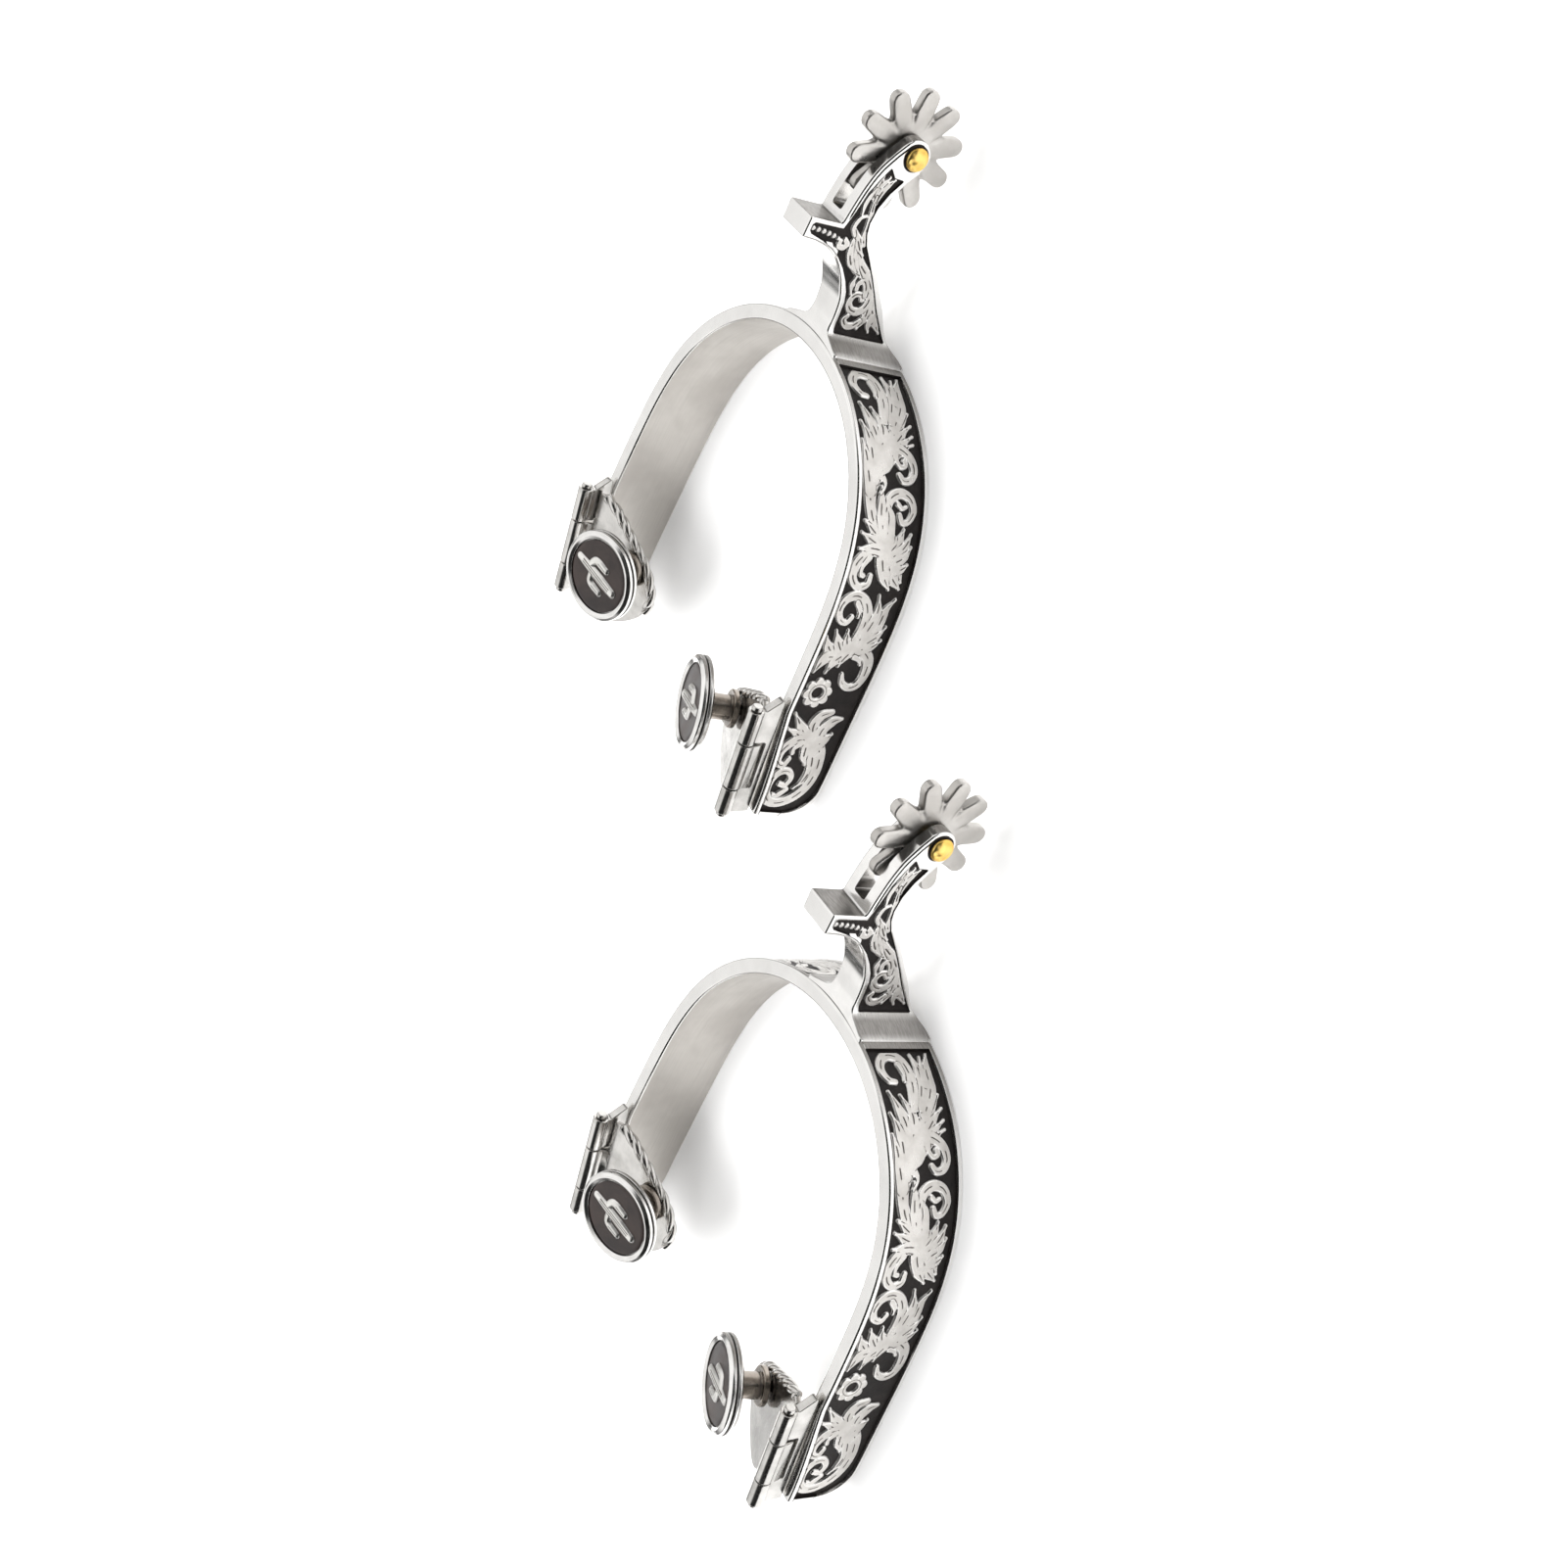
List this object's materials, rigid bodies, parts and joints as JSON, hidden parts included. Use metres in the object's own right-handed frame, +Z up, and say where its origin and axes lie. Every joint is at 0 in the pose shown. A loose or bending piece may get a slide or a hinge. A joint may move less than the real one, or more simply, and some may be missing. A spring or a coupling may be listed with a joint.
{
  "type": "pair of western show spurs",
  "caption": "Pair of western spurs with engraved heel bands, curved shanks, blunt star rowels and button hangers that swing on pinned hinges",
  "frame": {"origin": "under the middle of the pair's bounding box, on the surface the spurs rest on", "axes": "+Z up; +Y the way the open ends of spur a's band point, which is also the longest extent of the pair; X across the heel"},
  "size_m": [0.2122, 0.2696, 0.0366],
  "materials": {
    "polished_steel": "polished, bright",
    "satin_steel": "satin",
    "brass": "polished domed head",
    "dark_enamel": "dark glossy enamel",
    "silver": "bright silver"
  },
  "bodies": {
    "a_frame": {"a_heel_band": "polished_steel", "a_shank": "polished_steel", "a_rowel_pin": "brass", "a_hinge_leaf_l": "polished_steel", "a_hinge_leaf_r": "polished_steel", "a_hinge_pin_l": "satin_steel", "a_hinge_pin_r": "satin_steel"},
    "a_rowel": {"a_rowel": "satin_steel"},
    "a_hanger_l": {"a_hanger_l": "polished_steel", "a_stud_l": "satin_steel", "a_button_l": "polished_steel", "a_enamel_l": "dark_enamel", "a_emblem_l": "silver"},
    "a_hanger_r": {"a_hanger_r": "polished_steel", "a_stud_r": "satin_steel", "a_button_r": "polished_steel", "a_enamel_r": "dark_enamel", "a_emblem_r": "silver"},
    "b_frame": {"b_heel_band": "polished_steel", "b_shank": "polished_steel", "b_rowel_pin": "brass", "b_hinge_leaf_l": "polished_steel", "b_hinge_leaf_r": "polished_steel", "b_hinge_pin_l": "satin_steel", "b_hinge_pin_r": "satin_steel"},
    "b_rowel": {"b_rowel": "satin_steel"},
    "b_hanger_l": {"b_hanger_l": "polished_steel", "b_stud_l": "satin_steel", "b_button_l": "polished_steel", "b_enamel_l": "dark_enamel", "b_emblem_l": "silver"},
    "b_hanger_r": {"b_hanger_r": "polished_steel", "b_stud_r": "satin_steel", "b_button_r": "polished_steel", "b_enamel_r": "dark_enamel", "b_emblem_r": "silver"}
  },
  "joints": [
    {"name": "a_rowel_spin", "type": "hinge", "parent": "a_frame", "child": "a_rowel", "pos_m": [0.05533, -0.12055, 0.01748], "axis": [1, 0, 0], "continuous": true},
    {"name": "a_hanger_r_swing", "type": "hinge", "parent": "a_frame", "child": "a_hanger_r", "pos_m": [0.10302, 0.00961, 0.0245], "axis": [-0.0248, 0.9884, -0.1495], "range_deg": [0, 190]},
    {"name": "a_hanger_l_swing", "type": "hinge", "parent": "a_frame", "child": "a_hanger_l", "pos_m": [0.00764, 0.00961, 0.0245], "axis": [-0.0248, -0.9884, 0.1495], "range_deg": [0, 190]},
    {"name": "b_lift", "type": "slide", "parent": "a_frame", "child": "b_frame", "axis": [0, 0, 1], "range_m": [0, 0.12]},
    {"name": "b_rowel_spin", "type": "hinge", "parent": "b_frame", "child": "b_rowel", "pos_m": [-0.04913, -0.01313, 0.01748], "axis": [0.999, 0.0457, 0], "continuous": true},
    {"name": "b_hanger_r_swing", "type": "hinge", "parent": "b_frame", "child": "b_hanger_r", "pos_m": [-0.00744, 0.11908, 0.0245], "axis": [-0.0699, 0.9863, -0.1495], "range_deg": [0, 190]},
    {"name": "b_hanger_l_swing", "type": "hinge", "parent": "b_frame", "child": "b_hanger_l", "pos_m": [-0.10272, 0.11472, 0.0245], "axis": [0.0204, -0.9885, 0.1495], "range_deg": [0, 190]}
  ]
}
